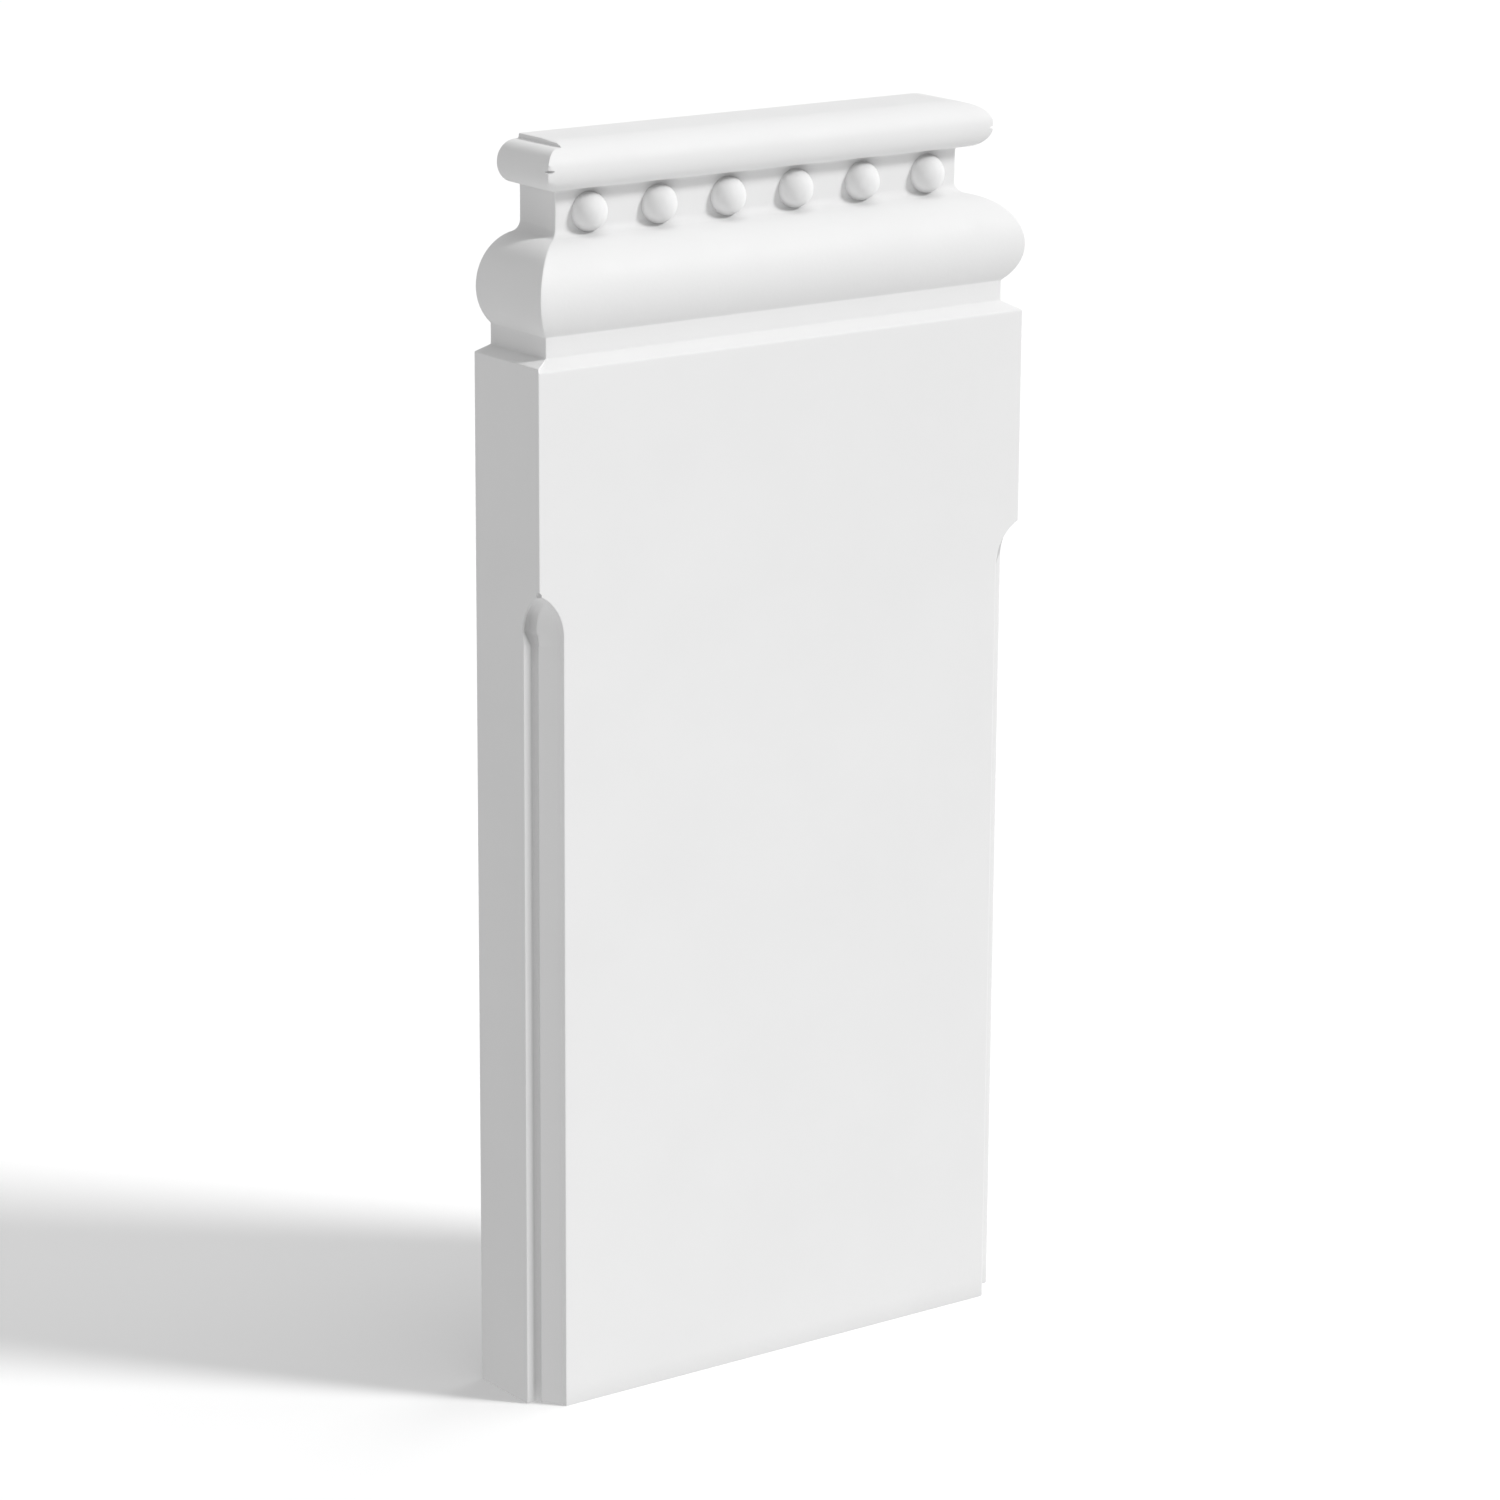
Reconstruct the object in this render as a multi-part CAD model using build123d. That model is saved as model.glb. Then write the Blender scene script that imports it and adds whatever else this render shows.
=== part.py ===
from build123d import *
import math
import os

# Plinth block (pedestal) for a pilaster or door surround: one hard-foam casting with a
# flat back. A tall slab carries a mitred moulding on its front and both ends: wash,
# fillet, torus, cavetto, neck with a row of beads, and a bullnosed cap with a flat top.
# Millimetres. Front faces -Y, flat back is +Y, +Z is up, and the origin is at the centre
# of the bounding box's underside.

# ---- slab
slab_width = 240.0        # across the two end faces
slab_depth = 45.4         # flat back to front face
slab_top = 431.2          # where the wash starts
arris_r = 1.2             # softened edge between face and wash

# ---- moulding, each inset measured inwards from the slab's face below it
fillet_inset = 6.4        # vertical band under the torus
wash_top = 434.9          # wash climbs 28 degrees to this height
torus_centre = (19.9, 458.7)
torus_r = 20.4            # its nose stands 0.5 mm proud of the slab
cavetto_r = 4.5           # hollow between torus and neck
neck_inset = 20.5
soffit = 498.1            # underside of the cap
cove_r = 1.6              # hollow between neck and soffit
nose_inset = 18.3         # centre of the cap's rounded edge
nose_r = 8.9
height = 517.2            # flat top
flat_inset = 24.0         # flat top runs from the back to here, then rolls into the nose

# ---- left end: the moulding sits a little further in, its wash starts higher, and the
# ---- cap's strip there was cast lower than the rest of the top
left_set = 1.3
left_slab_top = 432.7
strip_top = 515.2
step_inset = 21.3

# ---- row of beads on the neck's front
bead_r = 8.0
bead_count = 6
bead_pitch = 33.4
bead_z = 488.3
bead_inset = 20.9         # centre of each ball, level with the neck's face
bead_shift = 0.9          # the row sits this far right of centre

# ---- stopped cuts on the slab's two vertical front corners
cut_leg = 11.4           # width on the front face and on the end face
quirk = 2.8               # narrow step between the front face and the sunk flat
wall_quirk = 3.5          # the same between the end face and the groove
groove_r = 1.45           # half-round groove where the flat meets the quirk by the wall
cut_stop = 324.3         # straight below this; above it the cut runs out in arcs
stop_rise = 18.15         # height of those arcs on the front face and on the end face
flat_rise = 20.0          # the same for the sunk flat between them

half = slab_width / 2
front = -slab_depth


def corner(a, b, c, r):
    """Start, middle and end of the arc that rounds corner b of the path a-b-c."""
    u = ((a[0] - b[0]), (a[1] - b[1]))
    v = ((c[0] - b[0]), (c[1] - b[1]))
    lu, lv = math.hypot(*u), math.hypot(*v)
    u, v = (u[0] / lu, u[1] / lu), (v[0] / lv, v[1] / lv)
    ang = math.acos(u[0] * v[0] + u[1] * v[1])
    t = r / math.tan(ang / 2)
    m = (u[0] + v[0], u[1] + v[1])
    lm = math.hypot(*m)
    k = r / math.sin(ang / 2)
    mid = (b[0] + m[0] / lm * (k - r), b[1] + m[1] / lm * (k - r))
    return (
        (b[0] + u[0] * t, b[1] + u[1] * t),
        mid,
        (b[0] + v[0] * t, b[1] + v[1] * t),
    )


def on_circle(c, r, deg):
    """Point at an angle from the outward direction: 0 is the nose, 90 the top."""
    a = math.radians(deg)
    return (c[0] - r * math.cos(a), c[1] + r * math.sin(a))


def outline(shift, stepped, brink_z):
    """The moulding's section from the slab's foot to the flat top, as (inset, z) pieces:
    a pair of points is a line, three points are an arc."""
    fil = fillet_inset + shift
    tc = (torus_centre[0] + shift, torus_centre[1])
    neck = neck_inset + shift
    nc = (nose_inset + shift, soffit + nose_r)
    foot, brink, heel = (0.0, 0.0), (0.0, brink_z), (fil, wash_top)
    under = (fil, tc[1] - math.sqrt(torus_r**2 - (tc[0] - fil) ** 2))
    a0, a1, a2 = corner(foot, brink, heel, arris_r)
    b0, b1, b2 = corner(brink, heel, under, 0.8)
    path = [(foot, a0), (a0, a1, a2), (a2, b0), (b0, b1, b2), (b2, under)]
    # torus, then the hollow that runs it into the neck
    reach = torus_r + cavetto_r
    cav = (neck - cavetto_r, 0.0)
    cav = (cav[0], tc[1] + math.sqrt(reach**2 - (tc[0] - cav[0]) ** 2))
    k = torus_r / reach
    over = (tc[0] + (cav[0] - tc[0]) * k, tc[1] + (cav[1] - tc[1]) * k)
    path.append((under, on_circle(tc, torus_r, 0), over))
    base = (neck, cav[1])
    h0 = math.atan2(over[1] - cav[1], over[0] - cav[0])
    hm = h0 / 2
    path.append((over, (cav[0] + cavetto_r * math.cos(hm), cav[1] + cavetto_r * math.sin(hm)), base))
    # neck, the hollow under the cap, and the cap's rounded edge
    rise = (neck, soffit - cove_r)
    lip = (neck - cove_r, soffit)
    q = cove_r * math.sqrt(0.5)
    path.append((base, rise))
    path.append((rise, (lip[0] + q, rise[1] + q), lip))
    if stepped:
        r = (strip_top - soffit) / 2
        c = (nc[0], soffit + r)
        crown = (c[0], strip_top)
        path.append((lip, on_circle(c, r, 0), crown))
        path.append((crown, (step_inset, strip_top)))
        path.append(((step_inset, strip_top), (step_inset + 0.3, height)))
    else:
        up = height - nc[1]
        d = flat_inset - nc[0]
        big = (d * d + up * up - nose_r**2) / (2 * (up - nose_r))
        bc = (flat_inset, height - big)
        k = nose_r / (big - nose_r)
        join = (nc[0] + (nc[0] - bc[0]) * k, nc[1] + (nc[1] - bc[1]) * k)
        path.append((lip, on_circle(nc, nose_r, 0), join))
        a = math.atan2(join[1] - bc[1], join[0] - bc[0])
        m = (a + math.pi / 2) / 2
        path.append((join, (bc[0] + big * math.cos(m), bc[1] + big * math.sin(m)), (flat_inset, height)))
    return path


def edges(path, place):
    made = []
    for piece in path:
        pts = [place(*p) for p in piece]
        made.append(Line(*pts) if len(pts) == 2 else ThreePointArc(*pts))
    return made


section = outline(0.0, False, slab_top)
section_left = outline(left_set, True, left_slab_top)

# the moulding mitres where a prism of the front section meets a prism of the end sections
far = slab_width
run = edges(section, lambda p, z: (-far, front + p, z))
last = (-far, front + section[-1][-1][0], height)
run += [Line(last, (-far, 0, height)), Line((-far, 0, height), (-far, 0, 0)), Line((-far, 0, 0), (-far, front, 0))]
long_prism = extrude(make_face(run), amount=2 * far, dir=(1, 0, 0))

ends = edges(section, lambda p, z: (half - p, 60, z))
ends += edges(section_left, lambda p, z: (-half + p, 60, z))
ends += [
    Line((half - section[-1][-1][0], 60, height), (-half + section_left[-1][-1][0], 60, height)),
    Line((-half, 60, 0), (half, 60, 0)),
]
cross_prism = extrude(make_face(ends), amount=160, dir=(0, -1, 0))
block = long_prism & cross_prism

# stopped cuts on the front corners. In plan the cut is a flat sunk between two quirks, with
# a groove beside the quirk that is nearer the wall. Above the stop three round cutters
# meet: one dies out on the end face, one on the front face, one along the sunk flat.
def run_out(width, rise):
    """Radius of the arc that starts at full width and dies out at a rise above, and how
    far outside the corner its centre lies."""
    off = (rise**2 - width**2) / (2 * width)
    return width + off, off


diag = math.sqrt(0.5)
leg_r, leg_off = run_out(cut_leg, stop_rise)
flat_r, flat_off = run_out((cut_leg + quirk) * diag, flat_rise)
slope = math.hypot(cut_leg - wall_quirk, cut_leg - quirk)
ux, uy = (cut_leg - wall_quirk) / slope, (quirk - cut_leg) / slope
gx = wall_quirk + groove_r * ux
gy = cut_leg + groove_r * uy
for side in (-1, 1):

    def at(a, b, z=0.0):
        """Point at a from the end face and b from the front face."""
        return (side * (half - a), front + b, z)

    rim = [
        Line(at(-6, -6), at(-6, cut_leg)),
        Line(at(-6, cut_leg), at(wall_quirk, cut_leg)),
        ThreePointArc(
            at(wall_quirk, cut_leg),
            at(gx - groove_r * uy, gy + groove_r * ux),
            at(gx + groove_r * ux, gy + groove_r * uy),
        ),
        Line(at(gx + groove_r * ux, gy + groove_r * uy), at(cut_leg, quirk)),
        Line(at(cut_leg, quirk), at(cut_leg, -6)),
        Line(at(cut_leg, -6), at(-6, -6)),
    ]
    straight = extrude(make_face(rim), amount=cut_stop + 10, dir=(0, 0, 1))
    straight = Pos(0, 0, -10) * straight
    by_end = Pos(*at(-leg_off, 0, cut_stop)) * Rot(90, 0, 0) * Cylinder(leg_r, 60)
    by_front = Pos(*at(0, -leg_off, cut_stop)) * Rot(0, 90, 0) * Cylinder(leg_r, 60)
    along = Pos(*at(-flat_off * diag, -flat_off * diag, cut_stop))
    by_flat = along * Rot(0, 0, side * 45) * Rot(0, 90, 0) * Cylinder(flat_r, 90)
    stop = by_end & by_front & by_flat
    dimple = Pos(*at(gx, gy, cut_stop + 1)) * Cylinder(groove_r, 4)
    dimple += Pos(*at(gx, gy, cut_stop + 3)) * Sphere(groove_r)
    block = block - straight - stop - dimple

# beads
for i in range(bead_count):
    x = (i - (bead_count - 1) / 2) * bead_pitch + bead_shift
    block += Pos(x, front + bead_inset, bead_z) * Sphere(bead_r)

# small casting flaws: a nick at each front corner of the cap's edge, and a pit at the tip
# of the left corner cut
nick_in = nose_inset - nose_r
for side, shift, z in ((-1, left_set, 507.2), (1, 0.0, 506.4)):
    spot = (side * (half - nick_in - shift), front + nick_in, z)
    block -= Pos(*spot) * Rot(0, 0, side * 45) * Rot(0, 90, 0) * Cylinder(0.7, 9)
tip_z = cut_stop + stop_rise
block -= Pos(-half + 0.35, front + 0.35, tip_z + 0.5) * Sphere(1.3)

# origin to the centre of the bounding box's underside
proud = torus_r - torus_centre[0]
x_mid = (half + proud - half) / 2
y_mid = (front - proud) / 2
block = Pos(-x_mid, -y_mid, 0) * block
solids = block.solids()
assert len(solids) == 1, len(solids)
plinth_block = solids[0]
plinth_block.label = "plinth_block"

os.makedirs("parts", exist_ok=True)
export_step(plinth_block, "parts/plinth_block.step")
box = plinth_block.bounding_box()
print("box", box.min, box.max, "volume", plinth_block.volume, "valid", plinth_block.is_valid)
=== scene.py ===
import math
import bmesh
import bpy
import numpy as np
from mathutils import Matrix, Vector, noise


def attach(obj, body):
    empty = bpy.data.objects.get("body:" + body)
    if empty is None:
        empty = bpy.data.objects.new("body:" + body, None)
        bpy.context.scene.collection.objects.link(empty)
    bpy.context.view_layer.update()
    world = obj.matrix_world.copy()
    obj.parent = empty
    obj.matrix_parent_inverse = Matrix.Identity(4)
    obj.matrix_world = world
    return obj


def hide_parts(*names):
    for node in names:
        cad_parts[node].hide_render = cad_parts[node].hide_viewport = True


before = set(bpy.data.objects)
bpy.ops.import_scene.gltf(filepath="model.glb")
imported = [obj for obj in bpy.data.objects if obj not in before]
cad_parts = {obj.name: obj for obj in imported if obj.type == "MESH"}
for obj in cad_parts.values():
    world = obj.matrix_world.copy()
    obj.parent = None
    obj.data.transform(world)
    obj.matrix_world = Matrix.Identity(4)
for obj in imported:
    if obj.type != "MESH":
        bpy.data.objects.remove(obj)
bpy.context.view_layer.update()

# ------------------------------------------------------------------ sizes, in millimetres
HALF = 120.0
DEPTH = 45.4
X_MID = 0.25
Y_MID = -22.95
SLAB_TOP = 431.2
FILLET = 6.4
WASH_TOP = 434.9
TORUS = (19.9, 458.7)
TORUS_R = 20.4
CAVETTO_R = 4.5
NECK = 20.5
SOFFIT = 498.1
COVE_R = 1.6
NOSE = 18.3
NOSE_R = 8.9
TOP = 517.2
FLAT = 24.0
LEFT_SET = 1.3
LEFT_SLAB_TOP = 432.7
STRIP_TOP = 515.2
STEP = 21.3
BEAD_R = 8.0
BEADS = 6
BEAD_PITCH = 33.4
BEAD_Z = 488.3
BEAD_IN = 20.9
BEAD_SHIFT = 0.9
LEG = 11.4
QUIRK = 2.8
WALL_QUIRK = 3.5
STOP_AT = 324.3
STOP_RISE = 18.15
FLAT_RISE = 20.0
REACH = LEG + 2.4


# ------------------------------------------------------------------ camera
def add_camera():
    f = 5299.06
    az, el, roll = math.radians(36.088), math.radians(15.297), math.radians(0.374)
    ca, sa, ce, se = math.cos(az), math.sin(az), math.cos(el), math.sin(el)
    fwd = Vector((sa * ce, ca * ce, -se))
    right = Vector((ca, -sa, 0.0))
    up = right.cross(fwd)
    r2 = math.cos(roll) * right + math.sin(roll) * up
    u2 = -math.sin(roll) * right + math.cos(roll) * up
    at = Vector((-1239.677, -1722.040, 831.909)) - Vector((X_MID, Y_MID, 0.0))
    data = bpy.data.cameras.new("photo_camera")
    cam = bpy.data.objects.new("photo_camera", data)
    bpy.context.scene.collection.objects.link(cam)
    m = Matrix((r2, u2, -fwd)).transposed().to_4x4()
    m.translation = at / 1000.0
    cam.matrix_world = m
    data.sensor_fit = "AUTO"
    data.sensor_width = 36.0
    data.lens = f * 36.0 / 1500.0
    data.clip_start = 0.05
    data.clip_end = 60.0
    bpy.context.scene.camera = cam


add_camera()


# ------------------------------------------------------------------ the section of the moulding
def arc_pts(c, r, a0, a1, step=0.06):
    n = max(4, int(abs(a1 - a0) * r / step))
    t = np.linspace(a0, a1, n)
    return np.stack([c[0] + r * np.cos(t), c[1] + r * np.sin(t)], 1)


def line_pts(a, b, step=0.06):
    n = max(3, int(math.dist(a, b) / step))
    t = np.linspace(0.0, 1.0, n)[:, None]
    return np.array(a)[None] * (1 - t) + np.array(b)[None] * t


def section(shift, stepped, slab_top):
    """Dense pieces of the section as (inset, z), one array for each stretch of it."""
    fil = FILLET + shift
    tc = (TORUS[0] + shift, TORUS[1])
    neck = NECK + shift
    nose = NOSE + shift
    under = (fil, tc[1] - math.sqrt(TORUS_R**2 - (tc[0] - fil) ** 2))
    reach = TORUS_R + CAVETTO_R
    cx = neck - CAVETTO_R
    cz = tc[1] + math.sqrt(reach**2 - (tc[0] - cx) ** 2)
    a_under = math.atan2(under[1] - tc[1], under[0] - tc[0]) + 2 * math.pi
    a_over = math.atan2(cz - tc[1], cx - tc[0])
    out = [
        line_pts((0, 330.0), (0, slab_top)),
        line_pts((0, slab_top), (fil, WASH_TOP)),
        line_pts((fil, WASH_TOP), under),
        arc_pts(tc, TORUS_R, a_under, a_over),
        arc_pts((cx, cz), CAVETTO_R, a_over - math.pi, 0.0),
        line_pts((neck, cz), (neck, SOFFIT - COVE_R)),
        arc_pts((neck - COVE_R, SOFFIT - COVE_R), COVE_R, 0.0, math.pi / 2),
    ]
    if stepped:
        r = (STRIP_TOP - SOFFIT) / 2
        c = (nose, SOFFIT + r)
        out.append(arc_pts(c, r, 1.5 * math.pi, math.pi))
        out.append(arc_pts(c, r, math.pi, math.pi / 2))
        out.append(line_pts((c[0], STRIP_TOP), (STEP, STRIP_TOP)))
        out.append(line_pts((STEP, STRIP_TOP), (STEP + 0.3, TOP)))
        out.append(line_pts((STEP + 0.3, TOP), (FLAT + 2.0, TOP)))
    else:
        c = (nose, SOFFIT + NOSE_R)
        up = TOP - c[1]
        d = FLAT - nose
        big = (d * d + up * up - NOSE_R**2) / (2 * (up - NOSE_R))
        bc = (FLAT, TOP - big)
        a_join = math.atan2(c[1] - bc[1], c[0] - bc[0])
        # the point on the long curve that is level with the lower strip at the left end
        a_strip = math.pi - math.asin((STRIP_TOP - bc[1]) / big)
        a_next = a_strip - 0.02
        out.append(arc_pts(c, NOSE_R, 1.5 * math.pi, math.pi))
        out.append(arc_pts(c, NOSE_R, math.pi, a_join))
        out.append(arc_pts(bc, big, a_join, a_strip))
        out.append(arc_pts(bc, big, a_strip, a_next))
        out.append(
            np.concatenate(
                [arc_pts(bc, big, a_next, math.pi / 2), line_pts((FLAT, TOP), (FLAT + 0.7, TOP))]
            )
        )
    return out


def even(piece, n):
    d = np.concatenate([[0], np.cumsum(np.hypot(*np.diff(piece, axis=0).T))])
    t = np.linspace(0, d[-1], n)
    return np.stack([np.interp(t, d, piece[:, 0]), np.interp(t, d, piece[:, 1])], 1)


def match(front, left):
    """Both sections with the same number of points on each stretch."""
    f, l = [], []
    for a, b in zip(front, left):
        n = max(len(a), len(b))
        f.append(even(a, n)[:-1])
        l.append(even(b, n)[:-1])
    f.append(front[-1][-1:])
    l.append(left[-1][-1:])
    return np.concatenate(f), np.concatenate(l)


def soften(p, sigma):
    """Rounds the corners of a dense path, as a coat of primer and worn tooling do."""
    d = np.concatenate([[0], np.cumsum(np.hypot(*np.diff(p, axis=0).T))])
    step = 0.05
    t = np.arange(0, d[-1] + step / 2, step)
    q = np.stack([np.interp(t, d, p[:, 0]), np.interp(t, d, p[:, 1])], 1)
    k = int(4 * sigma / step)
    w = np.exp(-0.5 * (np.arange(-k, k + 1) * step / sigma) ** 2)
    w /= w.sum()
    a = np.pad(q, ((k, k), (0, 0)), mode="reflect", reflect_type="odd")
    s = np.stack([np.convolve(a[:, i], w, "valid") for i in (0, 1)], 1)
    return np.stack([np.interp(d, t, s[:, 0]), np.interp(d, t, s[:, 1])], 1)


front_dense, left_dense = match(
    section(0.0, False, SLAB_TOP), section(LEFT_SET, True, LEFT_SLAB_TOP)
)
front_dense, left_dense = soften(front_dense, 0.38), soften(left_dense, 0.38)


def pick(f, l, long_step, turn):
    """Indices along both sections, close together where either of them bends."""
    keep = [0]
    run = bend = 0.0
    for i in range(1, len(f) - 1):
        b = 0.0
        for p in (f, l):
            u, v = p[i] - p[i - 1], p[i + 1] - p[i]
            nu, nv = np.hypot(*u), np.hypot(*v)
            if nu > 1e-9 and nv > 1e-9:
                b = max(b, math.acos(max(-1, min(1, float(u @ v) / nu / nv))))
        run += max(np.hypot(*(f[i] - f[i - 1])), np.hypot(*(l[i] - l[i - 1])))
        bend += b
        if run >= long_step or bend >= turn:
            keep.append(i)
            run = bend = 0.0
    keep.append(len(f) - 1)
    return keep


chosen = pick(front_dense, left_dense, 5.0, math.radians(6.0))
F = front_dense[chosen]
L = left_dense[chosen]
upper_f = front_dense[front_dense[:, 1] > SOFFIT + NOSE_R]
upper_l = left_dense[left_dense[:, 1] > SOFFIT + (STRIP_TOP - SOFFIT) / 2]


def height_over(p_left, p_front, p_right):
    """Height of the cap's upper surface above a point of the plan."""
    zf = np.interp(p_front, upper_f[:, 0], upper_f[:, 1], left=SOFFIT + NOSE_R)
    zr = np.interp(p_right, upper_f[:, 0], upper_f[:, 1], left=SOFFIT + NOSE_R)
    zl = np.interp(p_left, upper_l[:, 0], upper_l[:, 1], left=SOFFIT + NOSE_R - 0.1)
    return min(zf, zr, zl)


# ------------------------------------------------------------------ one horizontal loop
def near_ends(length, ends, middle):
    """Distances along one stretch, close together at both of its ends."""
    k = min(1.0, length / 3.2)
    o = [e * k for e in ends]
    inner = list(np.linspace(o[-1], length - o[-1], middle + 2)[1:-1]) if middle else []
    return o + inner + [length - e for e in reversed(o)]


def corner_path(leg, q_wall, q_room, wide, deep):
    """Plan of a front corner as (from the end face, from the front): a flat sunk between
    two narrow quirks, with a groove where the flat meets the quirk towards the wall.
    Softened, then sampled close together at its bends."""
    s = REACH - leg
    a = np.array([q_wall, leg])
    b = np.array([leg, q_room])
    flat = float(np.hypot(*(b - a)))
    along = (b - a) / flat if flat > 1e-6 else np.array([0.7, -0.7])
    into = np.array([-along[1], along[0]])
    f1 = a.copy()
    run = 0.0
    parts = [line_pts((0, REACH), (0, leg), 0.05)[:-1]]
    if leg > 1e-4:
        if q_wall > 1e-4:
            parts.append(line_pts((0, leg), a, 0.05)[:-1])
        if deep > 1e-3:
            rad = (wide**2 / 4 + deep**2) / (2 * deep)
            c = a + along * wide / 2 - into * (rad - deep)
            f1 = a + along * wide
            half = math.asin(min(1.0, wide / 2 / rad))
            if deep > rad:
                half = math.pi - half
            t = np.linspace(-half, half, max(6, int(2 * half * rad / 0.05)))
            ring = c + rad * (np.cos(t)[:, None] * into + np.sin(t)[:, None] * along)
            parts.append(ring[:-1])
            run = 2 * half * rad
        parts.append(line_pts(f1, b, 0.05)[:-1])
        if q_room > 1e-4:
            parts.append(line_pts(b, (leg, 0), 0.05)[:-1])
    parts.append(line_pts((leg, 0), (REACH, 0), 0.05))
    dense = soften(np.concatenate(parts), 0.3)
    d = np.concatenate([[0], np.cumsum(np.hypot(*np.diff(dense, axis=0).T))])
    total = d[-1]
    runs = [q_wall, run, float(np.hypot(*(b - f1))), q_room]
    arc = sum(runs)
    out = [0.18, 0.4, 0.7, 1.3]
    marks = [0.0, s - 1.9] + [s - o for o in reversed(out)] + [s]
    at = s
    for r, ends, middle in zip(
        runs,
        ([0.18, 0.42, 0.9], [0.2, 0.45, 0.8], [0.18, 0.4, 0.8, 1.5], [0.18, 0.42, 0.9]),
        (0, 5, 4, 0),
    ):
        marks += [at + m for m in near_ends(r, ends, middle)] + [at + r]
        at += r
    marks += [at + o for o in out] + [at + 1.9, 2 * s + arc]
    marks = np.array(marks) * total / (2 * s + arc)
    if arc < 1.0:
        # a plain corner: spread the points over its rounding
        h = total / 2
        m = len(marks)
        inner = np.linspace(-1.0, 1.0, m - 6)
        inner = np.sign(inner) * np.abs(inner) ** 1.3 * 1.15
        plain = np.concatenate([[0.0, h - 3.2, h - 1.9], h + inner, [h + 1.9, h + 3.2, total]])
        marks = plain * (1 - arc) + marks * arc
    # no two points closer than a hair's breadth
    gaps = np.maximum(np.diff(marks), 0.025)
    marks = np.concatenate([[0.0], np.cumsum(gaps)]) * total / gaps.sum()
    return np.stack([np.interp(marks, d, dense[:, 0]), np.interp(marks, d, dense[:, 1])], 1)


N_FRONT = 46
N_SIDE = 10
N_BACK = 40
corner_cache = {}


def plan_corner(leg):
    key = tuple(round(v, 4) for v in leg)
    if key not in corner_cache:
        corner_cache[key] = corner_path(*leg)
    return corner_cache[key]


def loop_plan(pl, pf, pr, leg):
    """Plan of one loop, from the back left corner round by the front."""
    xl, xr, yf, yb = -HALF + pl, HALF - pr, -DEPTH + pf, 0.0
    c = plan_corner(leg)
    nback = 0.35
    pts = []
    pts.append((xl + nback * 0.29, yb - nback * 0.29))
    pts.append((xl, yb - nback))
    for t in np.linspace(0, 1, N_SIDE + 1)[1:]:
        pts.append((xl, (yb - nback) * (1 - t) + (yf + REACH + 1.0) * t))
    pts += [(xl + a, yf + b) for a, b in c]
    for t in np.linspace(0, 1, N_FRONT + 1)[1:-1]:
        pts.append(((xl + REACH) * (1 - t) + (xr - REACH) * t, yf))
    pts += [(xr - a, yf + b) for a, b in reversed(list(c))]
    for t in np.linspace(0, 1, N_SIDE + 1)[:-1]:
        pts.append((xr, (yf + REACH + 1.0) * (1 - t) + (yb - nback) * t))
    pts.append((xr, yb - nback))
    pts.append((xr - nback * 0.29, yb - nback * 0.29))
    for t in np.linspace(0, 1, N_BACK + 1):
        pts.append(((xr - nback) * (1 - t) + (xl + nback) * t, yb))
    return pts


def round_end(width, up, rise):
    """Width left at a height above the stop's start: an arc that dies out at its top."""
    if up <= 0:
        return width
    if up >= rise:
        return 0.0
    off = (rise**2 - width**2) / (2 * width)
    return math.sqrt((width + off) ** 2 - up**2) - off


def ramp(x, pts):
    return float(np.interp(x, [p[0] for p in pts], [p[1] for p in pts]))


def leg_at(z):
    """The corner's cut at a height: its width, both quirks, and the groove."""
    up = z - STOP_AT
    leg = round_end(LEG, up, STOP_RISE)
    across = round_end((LEG + QUIRK) / math.sqrt(2), up, FLAT_RISE) * math.sqrt(2)
    q_room = min(leg, max(0.0, across - leg))
    q_wall = min(leg, ramp(up, [(-4.5, WALL_QUIRK), (-1.0, 1.8), (1.5, 0.5), (8.0, 0.3)]))
    room = math.hypot(leg - q_wall, leg - q_room)
    wide = min(ramp(up, [(-5.0, 2.9), (0.0, 4.6), (8.0, 4.4)]), 0.7 * room)
    deep = min(ramp(up, [(-5.0, 1.45), (0.0, 2.3), (6.0, 2.1), (14.0, 0.4), (17.0, 0.0)]), wide / 2)
    if leg < 1e-3:
        return 0.0, 0.0, 0.0, 0.0, 0.0
    return leg, q_wall, q_room, wide, deep


def painted_groove_shade(x, y, z):
    """Painted shade at a point: how far the base colour is darkened in the left groove, most at its stop."""
    if x > 0 or z > STOP_AT + STOP_RISE or z < 0.5:
        return 0.0
    leg, q_wall, q_room, wide, deep = leg_at(z)
    if wide < 0.2:
        return 0.0
    along = np.array([leg - q_wall, q_room - leg])
    along = along / max(1e-6, float(np.hypot(*along)))
    c = np.array([q_wall, leg]) + along * wide / 2
    off = np.array([x + HALF, y + DEPTH]) - c
    reach = wide / 2
    near = min(1.0, max(0.0, (reach * 1.5 - math.hypot(off[0], off[1])) / (reach * 0.6)))
    # painted shade darkest beside the quirk, fading out towards the flat
    near *= min(1.0, max(0.3, 0.85 - 0.6 * float(off @ along) / reach))
    # strength of the painted shade along the groove, strongest at its stop
    shade_amount = ramp(z - STOP_AT, [(-9.0, 0.42), (-3.0, 0.75), (1.0, 1.0), (8.0, 1.0), (13.0, 0.5), (17.0, 0.1)])
    return near * shade_amount


def wander(x, z, seed):
    """Slow unevenness between 0 and 1, the same on every run."""
    return 0.5 + 0.5 * noise.noise(Vector((x, z, seed)))


def ragged_edge(z, most):
    return most * min(1.0, max(0.0, 0.35 + 1.3 * noise.noise(Vector((z * 0.33, 4.0, 9.3)))))


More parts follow.
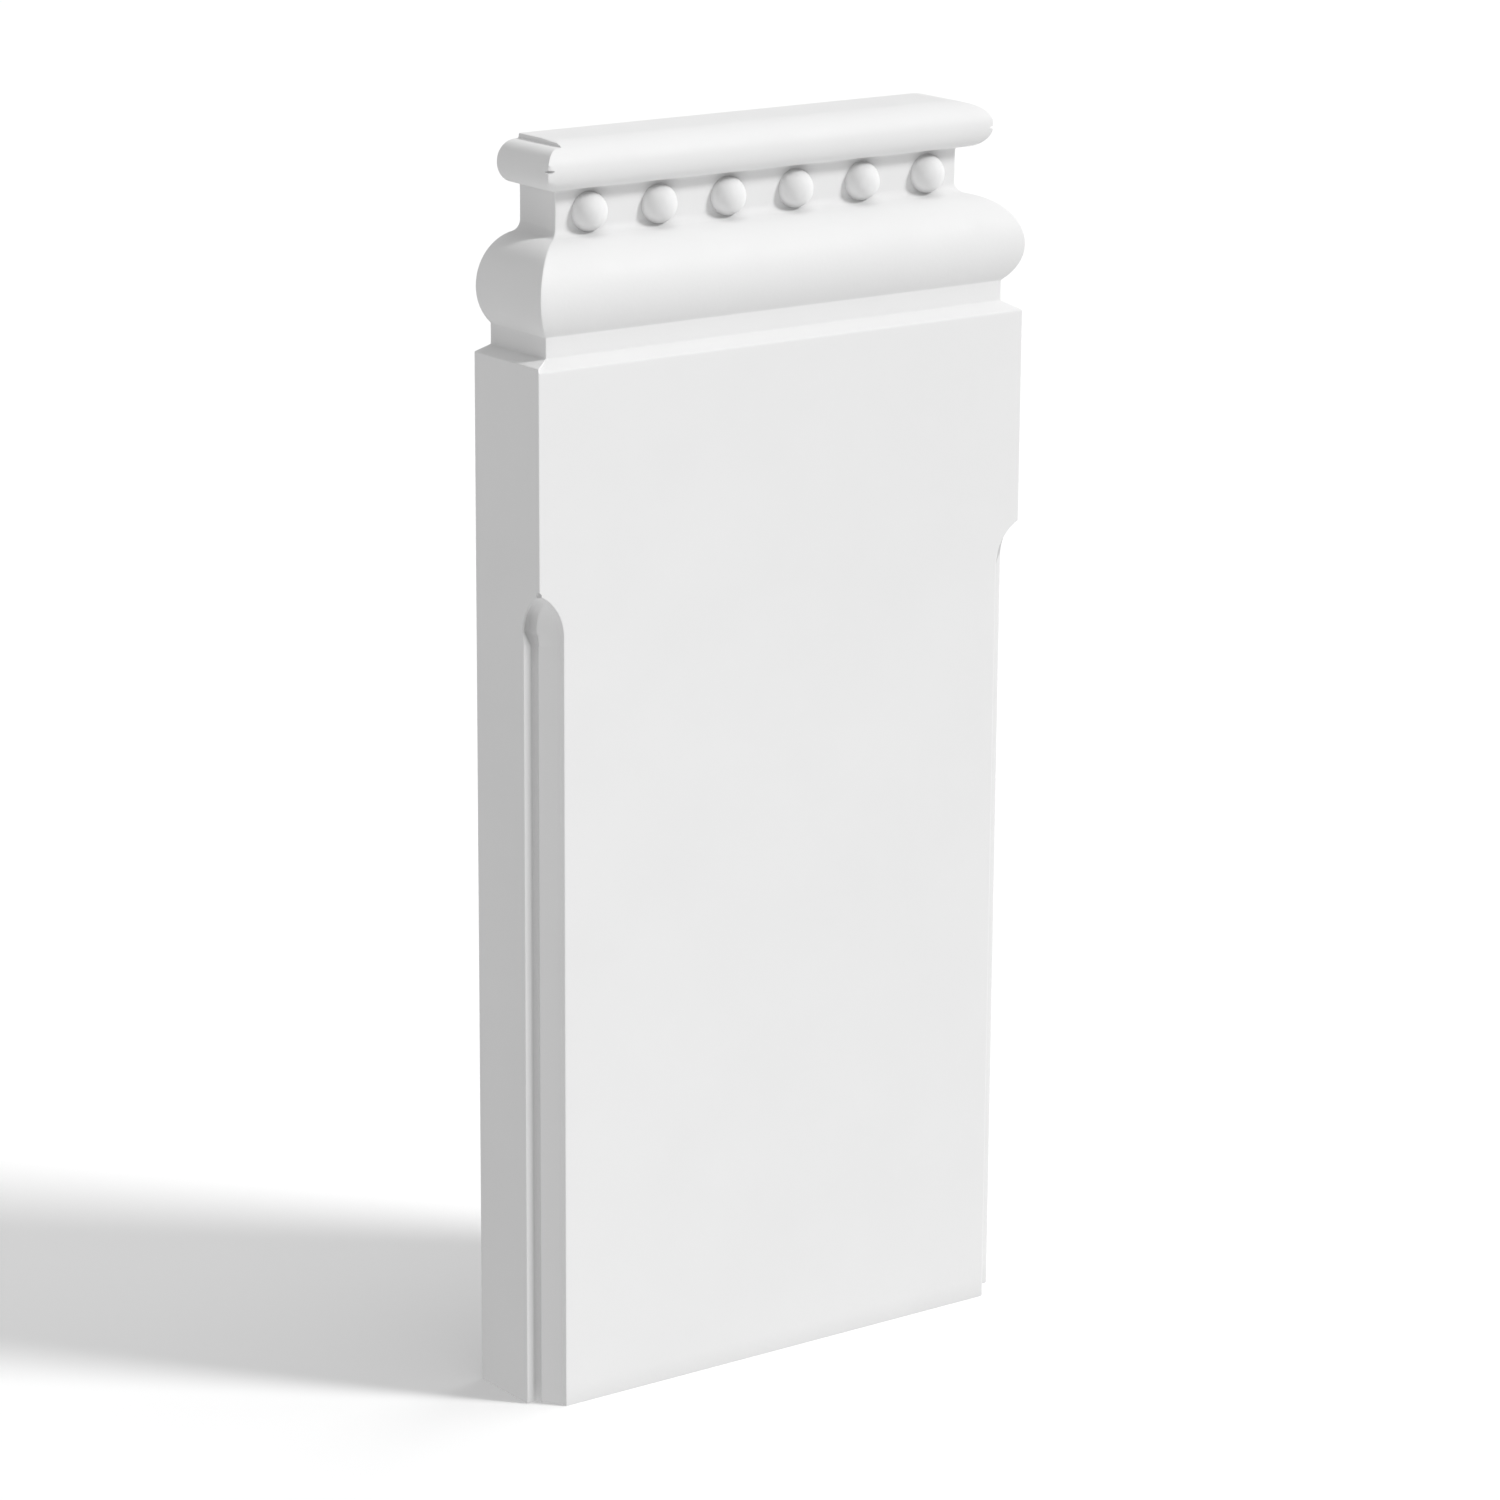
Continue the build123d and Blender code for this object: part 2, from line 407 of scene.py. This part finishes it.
def weathered(plan, nc, z):
    """The moulding's front wanders by a few hundredths, and its left mitre is ragged."""
    if z < 436.0 or z > TOP - 0.3:
        return plan
    first = 2 + N_SIDE
    last = first + 2 * nc + N_FRONT - 1
    fade = min(1.0, (z - 436.0) / 4.0)
    ragged = ragged_edge(z, 1.1 if SOFFIT + 0.6 < z < SOFFIT + 15.5 else 0.2)
    out = list(plan)
    corner = plan[first + nc // 2]
    for i in range(first, last):
        x, y = plan[i]
        y += 0.05 * fade * wander(x * 0.03, z * 0.06, 1.7)
        d = math.dist(plan[i], corner)
        if d < 2.0:
            push = ragged * math.exp(-((d / 1.1) ** 2)) * fade
            x += push * 0.7
            y += push * 0.7
        out[i] = (x, y)
    return out


def build_body():
    bm = bmesh.new()
    loops = []
    tip = STOP_AT + STOP_RISE

    def add(pl, pf, pr, z, leg, top=False):
        plan = loop_plan(pl, pf, pr, leg)
        nc = len(plan_corner(leg))
        plan = weathered(plan, nc, z[1])
        n_left = 2 + N_SIDE + nc // 2
        back = len(plan) - (N_BACK + 1)
        hs = []
        for i, (x, y) in enumerate(plan[:back]):
            if top:
                h = height_over(x + HALF, y + DEPTH, HALF - x)
            else:
                # left end, then the front and the right end
                t = min(1.0, max(0.0, (i - (n_left - 4)) / 8))
                h = z[0] * (1 - t) + z[1] * t
            hs.append(h)
        # the flat back runs from the right end's height to the left end's
        for i in range(N_BACK + 1):
            t = i / N_BACK
            hs.append(hs[back - 1] * (1 - t) + hs[0] * t)
        loops.append([bm.verts.new((x, y, h)) for (x, y), h in zip(plan, hs)])

    # foot with a small softened edge, slab, stop of the coves, slab again
    for inset, z in ((0.5, 0.0), (0.18, 0.08), (0.0, 0.45)):
        add(inset, inset, inset, (z, z), leg_at(0.0))
    zs = list(np.linspace(0.45, STOP_AT - 5.0, 40)[1:])
    zs += list(np.linspace(STOP_AT - 5.0, tip, 36)[1:-1])
    zs += [tip - 0.25, tip - 0.08, tip, tip + 0.3, tip + 1.2]
    zs += list(np.linspace(tip + 1.2, 424.0, 12)[1:])
    for z in zs:
        add(0.0, 0.0, 0.0, (z, z), leg_at(z))
    for f, l in zip(F, L):
        if f[1] < 425.0:
            continue
        up = f[1] > SOFFIT + NOSE_R + 1.0
        add(l[0], f[0], f[0], (l[1], f[1]), leg_at(TOP), top=up)
    for a, b in zip(loops, loops[1:]):
        for i in range(len(a)):
            j = (i + 1) % len(a)
            bm.faces.new((a[i], a[j], b[j], b[i]))
    bm.faces.new(list(reversed(loops[0])))
    bm.faces.new(loops[-1])
    bm.normal_update()
    return bm, len(loops), len(loops[0])


body, n_loops, n_round = build_body()
bmesh.ops.translate(body, verts=body.verts, vec=(-X_MID, -Y_MID, 0))
bmesh.ops.scale(body, verts=body.verts, vec=(0.001, 0.001, 0.001))
bmesh.ops.recalc_face_normals(body, faces=body.faces)
print("loops", n_loops, "round", n_round, "faces", len(body.faces))
mesh = bpy.data.meshes.new("plinth_casting")
body.to_mesh(mesh)
body.free()
piece = bpy.data.objects.new("plinth_casting", mesh)
bpy.context.scene.collection.objects.link(piece)


# ------------------------------------------------------------------ beads, fused to the neck
def ball(name, centre, r, rings=28, round_=48):
    bm = bmesh.new()
    bmesh.ops.create_uvsphere(bm, u_segments=round_, v_segments=rings, radius=r)
    # poles point at the wall and at the room, so the seam of rings faces sideways
    bmesh.ops.rotate(bm, verts=bm.verts, cent=(0, 0, 0), matrix=Matrix.Rotation(math.radians(90), 3, "X"))
    bmesh.ops.translate(bm, verts=bm.verts, vec=centre)
    m = bpy.data.meshes.new(name)
    bm.to_mesh(m)
    bm.free()
    return m


def combine(obj, tool_mesh, operation):
    tool = bpy.data.objects.new("tool", tool_mesh)
    bpy.context.scene.collection.objects.link(tool)
    mod = obj.modifiers.new("tool", "BOOLEAN")
    mod.operation = operation
    mod.solver = "EXACT"
    mod.object = tool
    deps = bpy.context.evaluated_depsgraph_get()
    made = bpy.data.meshes.new_from_object(obj.evaluated_get(deps))
    obj.modifiers.clear()
    old = obj.data
    obj.data = made
    made.name = "plinth_casting"
    bpy.data.meshes.remove(old)
    bpy.data.objects.remove(tool)
    bpy.data.meshes.remove(tool_mesh)


def add_beads(obj):
    joined = bmesh.new()
    for i in range(BEADS):
        x = (i - (BEADS - 1) / 2) * BEAD_PITCH + BEAD_SHIFT - X_MID
        y = -DEPTH + BEAD_IN - Y_MID
        centre = Vector((x, y, BEAD_Z)) / 1000
        m = ball("bead_%d" % i, centre, BEAD_R / 1000)
        # cast beads are never quite round
        for v in m.vertices:
            d = (v.co - centre).normalized()
            dent = 0.14 * noise.noise(d * 1.7 + Vector((i * 5.3, 1.0, 2.0)))
            dent += 0.05 * noise.noise(d * 4.0 + Vector((i * 3.1, 7.0, 4.0)))
            v.co += d * (dent - 0.06) / 1000
        joined.from_mesh(m)
        bpy.data.meshes.remove(m)
    m = bpy.data.meshes.new("beads")
    joined.to_mesh(m)
    joined.free()
    combine(obj, m, "UNION")


def cut_flaws(obj):
    """A nick at each front corner of the cap's rounded edge, and a pit at the left cove's tip."""
    joined = bmesh.new()
    inner = NOSE - NOSE_R
    tip = STOP_AT + STOP_RISE
    spots = (
        (-HALF + inner + LEFT_SET + 1.2, -DEPTH + inner + 0.2, 507.2, -25, (2.7, 1.6, 0.65)),
        (HALF - inner, -DEPTH + inner, 506.4, 45, (3.0, 1.6, 0.7)),
        (-HALF + 0.1, -DEPTH + 0.6, tip - 0.1, -45, (1.2, 1.9, 1.7)),
    )
    for x, y, z, turn, size in spots:
        before = set(joined.verts)
        bmesh.ops.create_uvsphere(joined, u_segments=20, v_segments=12, radius=1.0)
        fresh = [v for v in joined.verts if v not in before]
        bmesh.ops.scale(joined, verts=fresh, vec=[v / 1000 for v in size])
        for v in fresh:
            v.co *= 1.0 + 0.12 * noise.noise(v.co * 900 + Vector((z, 0, 0)))
        bmesh.ops.rotate(joined, verts=fresh, cent=(0, 0, 0), matrix=Matrix.Rotation(math.radians(turn), 3, "Z"))
        bmesh.ops.translate(joined, verts=fresh, vec=Vector((x - X_MID, y - Y_MID, z)) / 1000)
    m = bpy.data.meshes.new("flaws")
    joined.to_mesh(m)
    joined.free()
    combine(obj, m, "DIFFERENCE")


add_beads(piece)
cut_flaws(piece)
for poly in piece.data.polygons:
    poly.use_smooth = True
# painted shade: a per-vertex mask that darkens the left groove and its stop, read by the material
groove_shade_attr = piece.data.attributes.new("painted_groove_shade", "FLOAT", "POINT")
groove_shade_attr.data.foreach_set(
    "value",
    [painted_groove_shade(v.co.x * 1000 + X_MID, v.co.y * 1000 + Y_MID, v.co.z * 1000) for v in piece.data.vertices],
)
try:
    piece.data.set_sharp_from_angle(angle=math.radians(38))
except Exception as e:
    print("sharp", e)
print("faces after union", len(piece.data.polygons), "verts", len(piece.data.vertices))


# ------------------------------------------------------------------ finish
def primer():
    """White factory primer: matt, with a faint orange peel and faintly clouded. Its colour carries painted
    shade:
    darker in creases and recesses, and in the left groove."""
    mat = bpy.data.materials.new("white_primer")
    mat.use_nodes = True
    nt = mat.node_tree
    nt.nodes.clear()

    def node(kind, **values):
        n = nt.nodes.new(kind)
        for k, v in values.items():
            if k in n.inputs:
                n.inputs[k].default_value = v
            else:
                setattr(n, k, v)
        return n

    def spread(source, low, high):
        n = node("ShaderNodeMapRange")
        n.inputs["From Min"].default_value = 0.3
        n.inputs["From Max"].default_value = 0.7
        n.inputs["To Min"].default_value = low
        n.inputs["To Max"].default_value = high
        nt.links.new(source, n.inputs["Value"])
        return n.outputs["Result"]

    out = node("ShaderNodeOutputMaterial")
    bsdf = node("ShaderNodeBsdfPrincipled")
    place = node("ShaderNodeTexCoord")
    cloud = node("ShaderNodeTexNoise", Scale=22.0, Detail=3.0, Roughness=0.55)
    sheen = node("ShaderNodeTexNoise", Scale=70.0, Detail=2.0, Roughness=0.5)
    peel = node("ShaderNodeTexNoise", Scale=620.0, Detail=2.0, Roughness=0.45)
    grit = node("ShaderNodeTexNoise", Scale=2600.0, Detail=1.0, Roughness=0.5)
    for n in (cloud, sheen, peel, grit):
        nt.links.new(place.outputs["Object"], n.inputs["Vector"])

    # painted shade: ambient occlusion darkens the base colour from 0.81 to 0.60 in creases, corners and recesses
    crevice_ao = node("ShaderNodeAmbientOcclusion", samples=8)
    crevice_ao.inputs["Distance"].default_value = 0.006
    albedo_and_painted_shade = node("ShaderNodeValToRGB")
    albedo_and_painted_shade.color_ramp.elements[0].position = 0.25
    albedo_and_painted_shade.color_ramp.elements[0].color = (0.60, 0.60, 0.60, 1)
    albedo_and_painted_shade.color_ramp.elements[1].position = 0.80
    albedo_and_painted_shade.color_ramp.elements[1].color = (0.81, 0.81, 0.81, 1)
    nt.links.new(crevice_ao.outputs["AO"], albedo_and_painted_shade.inputs["Fac"])
    cloudy_shaded = node("ShaderNodeVectorMath", operation="SCALE")
    nt.links.new(albedo_and_painted_shade.outputs["Color"], cloudy_shaded.inputs[0])
    nt.links.new(spread(cloud.outputs["Fac"], 0.984, 1.0), cloudy_shaded.inputs["Scale"])
    # painted shade in the left groove: the mask darkens the base colour down to 0.70
    groove_shade_node = node("ShaderNodeAttribute", attribute_type="GEOMETRY", attribute_name="painted_groove_shade")
    groove_shade_mottled = node("ShaderNodeMath", operation="MULTIPLY")
    nt.links.new(groove_shade_node.outputs["Fac"], groove_shade_mottled.inputs[0])
    nt.links.new(spread(cloud.outputs["Fac"], 0.9, 1.0), groove_shade_mottled.inputs[1])
    groove_shade_darkening = node("ShaderNodeMapRange")
    groove_shade_darkening.inputs["To Min"].default_value = 1.0
    groove_shade_darkening.inputs["To Max"].default_value = 0.70
    nt.links.new(groove_shade_mottled.outputs["Value"], groove_shade_darkening.inputs["Value"])
    shaded_base_color = node("ShaderNodeVectorMath", operation="SCALE")
    nt.links.new(cloudy_shaded.outputs["Vector"], shaded_base_color.inputs[0])
    nt.links.new(groove_shade_darkening.outputs["Result"], shaded_base_color.inputs["Scale"])
    nt.links.new(shaded_base_color.outputs["Vector"], bsdf.inputs["Base Color"])

    nt.links.new(spread(sheen.outputs["Fac"], 0.57, 0.68), bsdf.inputs["Roughness"])
    mix = node("ShaderNodeMath", operation="MULTIPLY_ADD")
    nt.links.new(grit.outputs["Fac"], mix.inputs[0])
    mix.inputs[1].default_value = 0.25
    nt.links.new(peel.outputs["Fac"], mix.inputs[2])
    bump = node("ShaderNodeBump", Strength=0.35, Distance=0.00006)
    nt.links.new(mix.outputs["Value"], bump.inputs["Height"])
    nt.links.new(bump.outputs["Normal"], bsdf.inputs["Normal"])
    bsdf.inputs["Diffuse Roughness"].default_value = 0.6
    bsdf.inputs["Specular IOR Level"].default_value = 0.35
    nt.links.new(bsdf.outputs["BSDF"], out.inputs["Surface"])
    return mat


paint = primer()
piece.data.materials.clear()
piece.data.materials.append(paint)
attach(piece, "root")
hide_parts("plinth_block")


# ------------------------------------------------------------------ room
def floor():
    bm = bmesh.new()
    bmesh.ops.create_grid(bm, x_segments=4, y_segments=4, size=15.0)
    m = bpy.data.meshes.new("floor")
    bm.to_mesh(m)
    bm.free()
    o = bpy.data.objects.new("floor", m)
    bpy.context.scene.collection.objects.link(o)
    mat = bpy.data.materials.new("pale_floor")
    mat.use_nodes = True
    b = mat.node_tree.nodes["Principled BSDF"]
    b.inputs["Base Color"].default_value = (0.96, 0.96, 0.96, 1)
    b.inputs["Roughness"].default_value = 0.9
    m.materials.append(mat)
    # the floor is seen and takes shadows, but throws no light back up the block
    o.visible_diffuse = False
    o.visible_shadow = False
    return o


floor()


def sun(name, az, el, angle, strength):
    """A distant soft light: az is measured from the front's normal towards the right."""
    data = bpy.data.lights.new(name, "SUN")
    data.angle = math.radians(angle)
    data.energy = strength
    o = bpy.data.objects.new(name, data)
    bpy.context.scene.collection.objects.link(o)
    a, e = math.radians(az), math.radians(el)
    d = Vector((math.sin(a) * math.cos(e), -math.cos(a) * math.cos(e), math.sin(e)))
    o.location = Vector((0, 0, 0.26)) + d * 2.0
    o.rotation_mode = "QUATERNION"
    o.rotation_quaternion = d.to_track_quat("Z", "Y")
    return o


sun("key", 43, 34, 12, 2.37)
sun("overhead", 0, 88, 60, 0.70)
sun("left_fill", -70, -15, 90, 0.63)
sun("front_fill", -20, -30, 90, 0.59)
sun("right_fill", 60, -30, 90, 0.43)
sun("right_side", 90, 30, 60, 0.80)

world = bpy.data.worlds.new("studio")
bpy.context.scene.world = world
world.use_nodes = True
bg = world.node_tree.nodes["Background"]
bg.inputs["Color"].default_value = (1, 1, 1, 1)
bg.inputs["Strength"].default_value = 0.31

bpy.context.scene.view_settings.view_transform = "Standard"
bpy.context.scene.view_settings.look = "None"
bpy.context.scene.view_settings.exposure = 0.0
bpy.context.scene.view_settings.gamma = 1.0
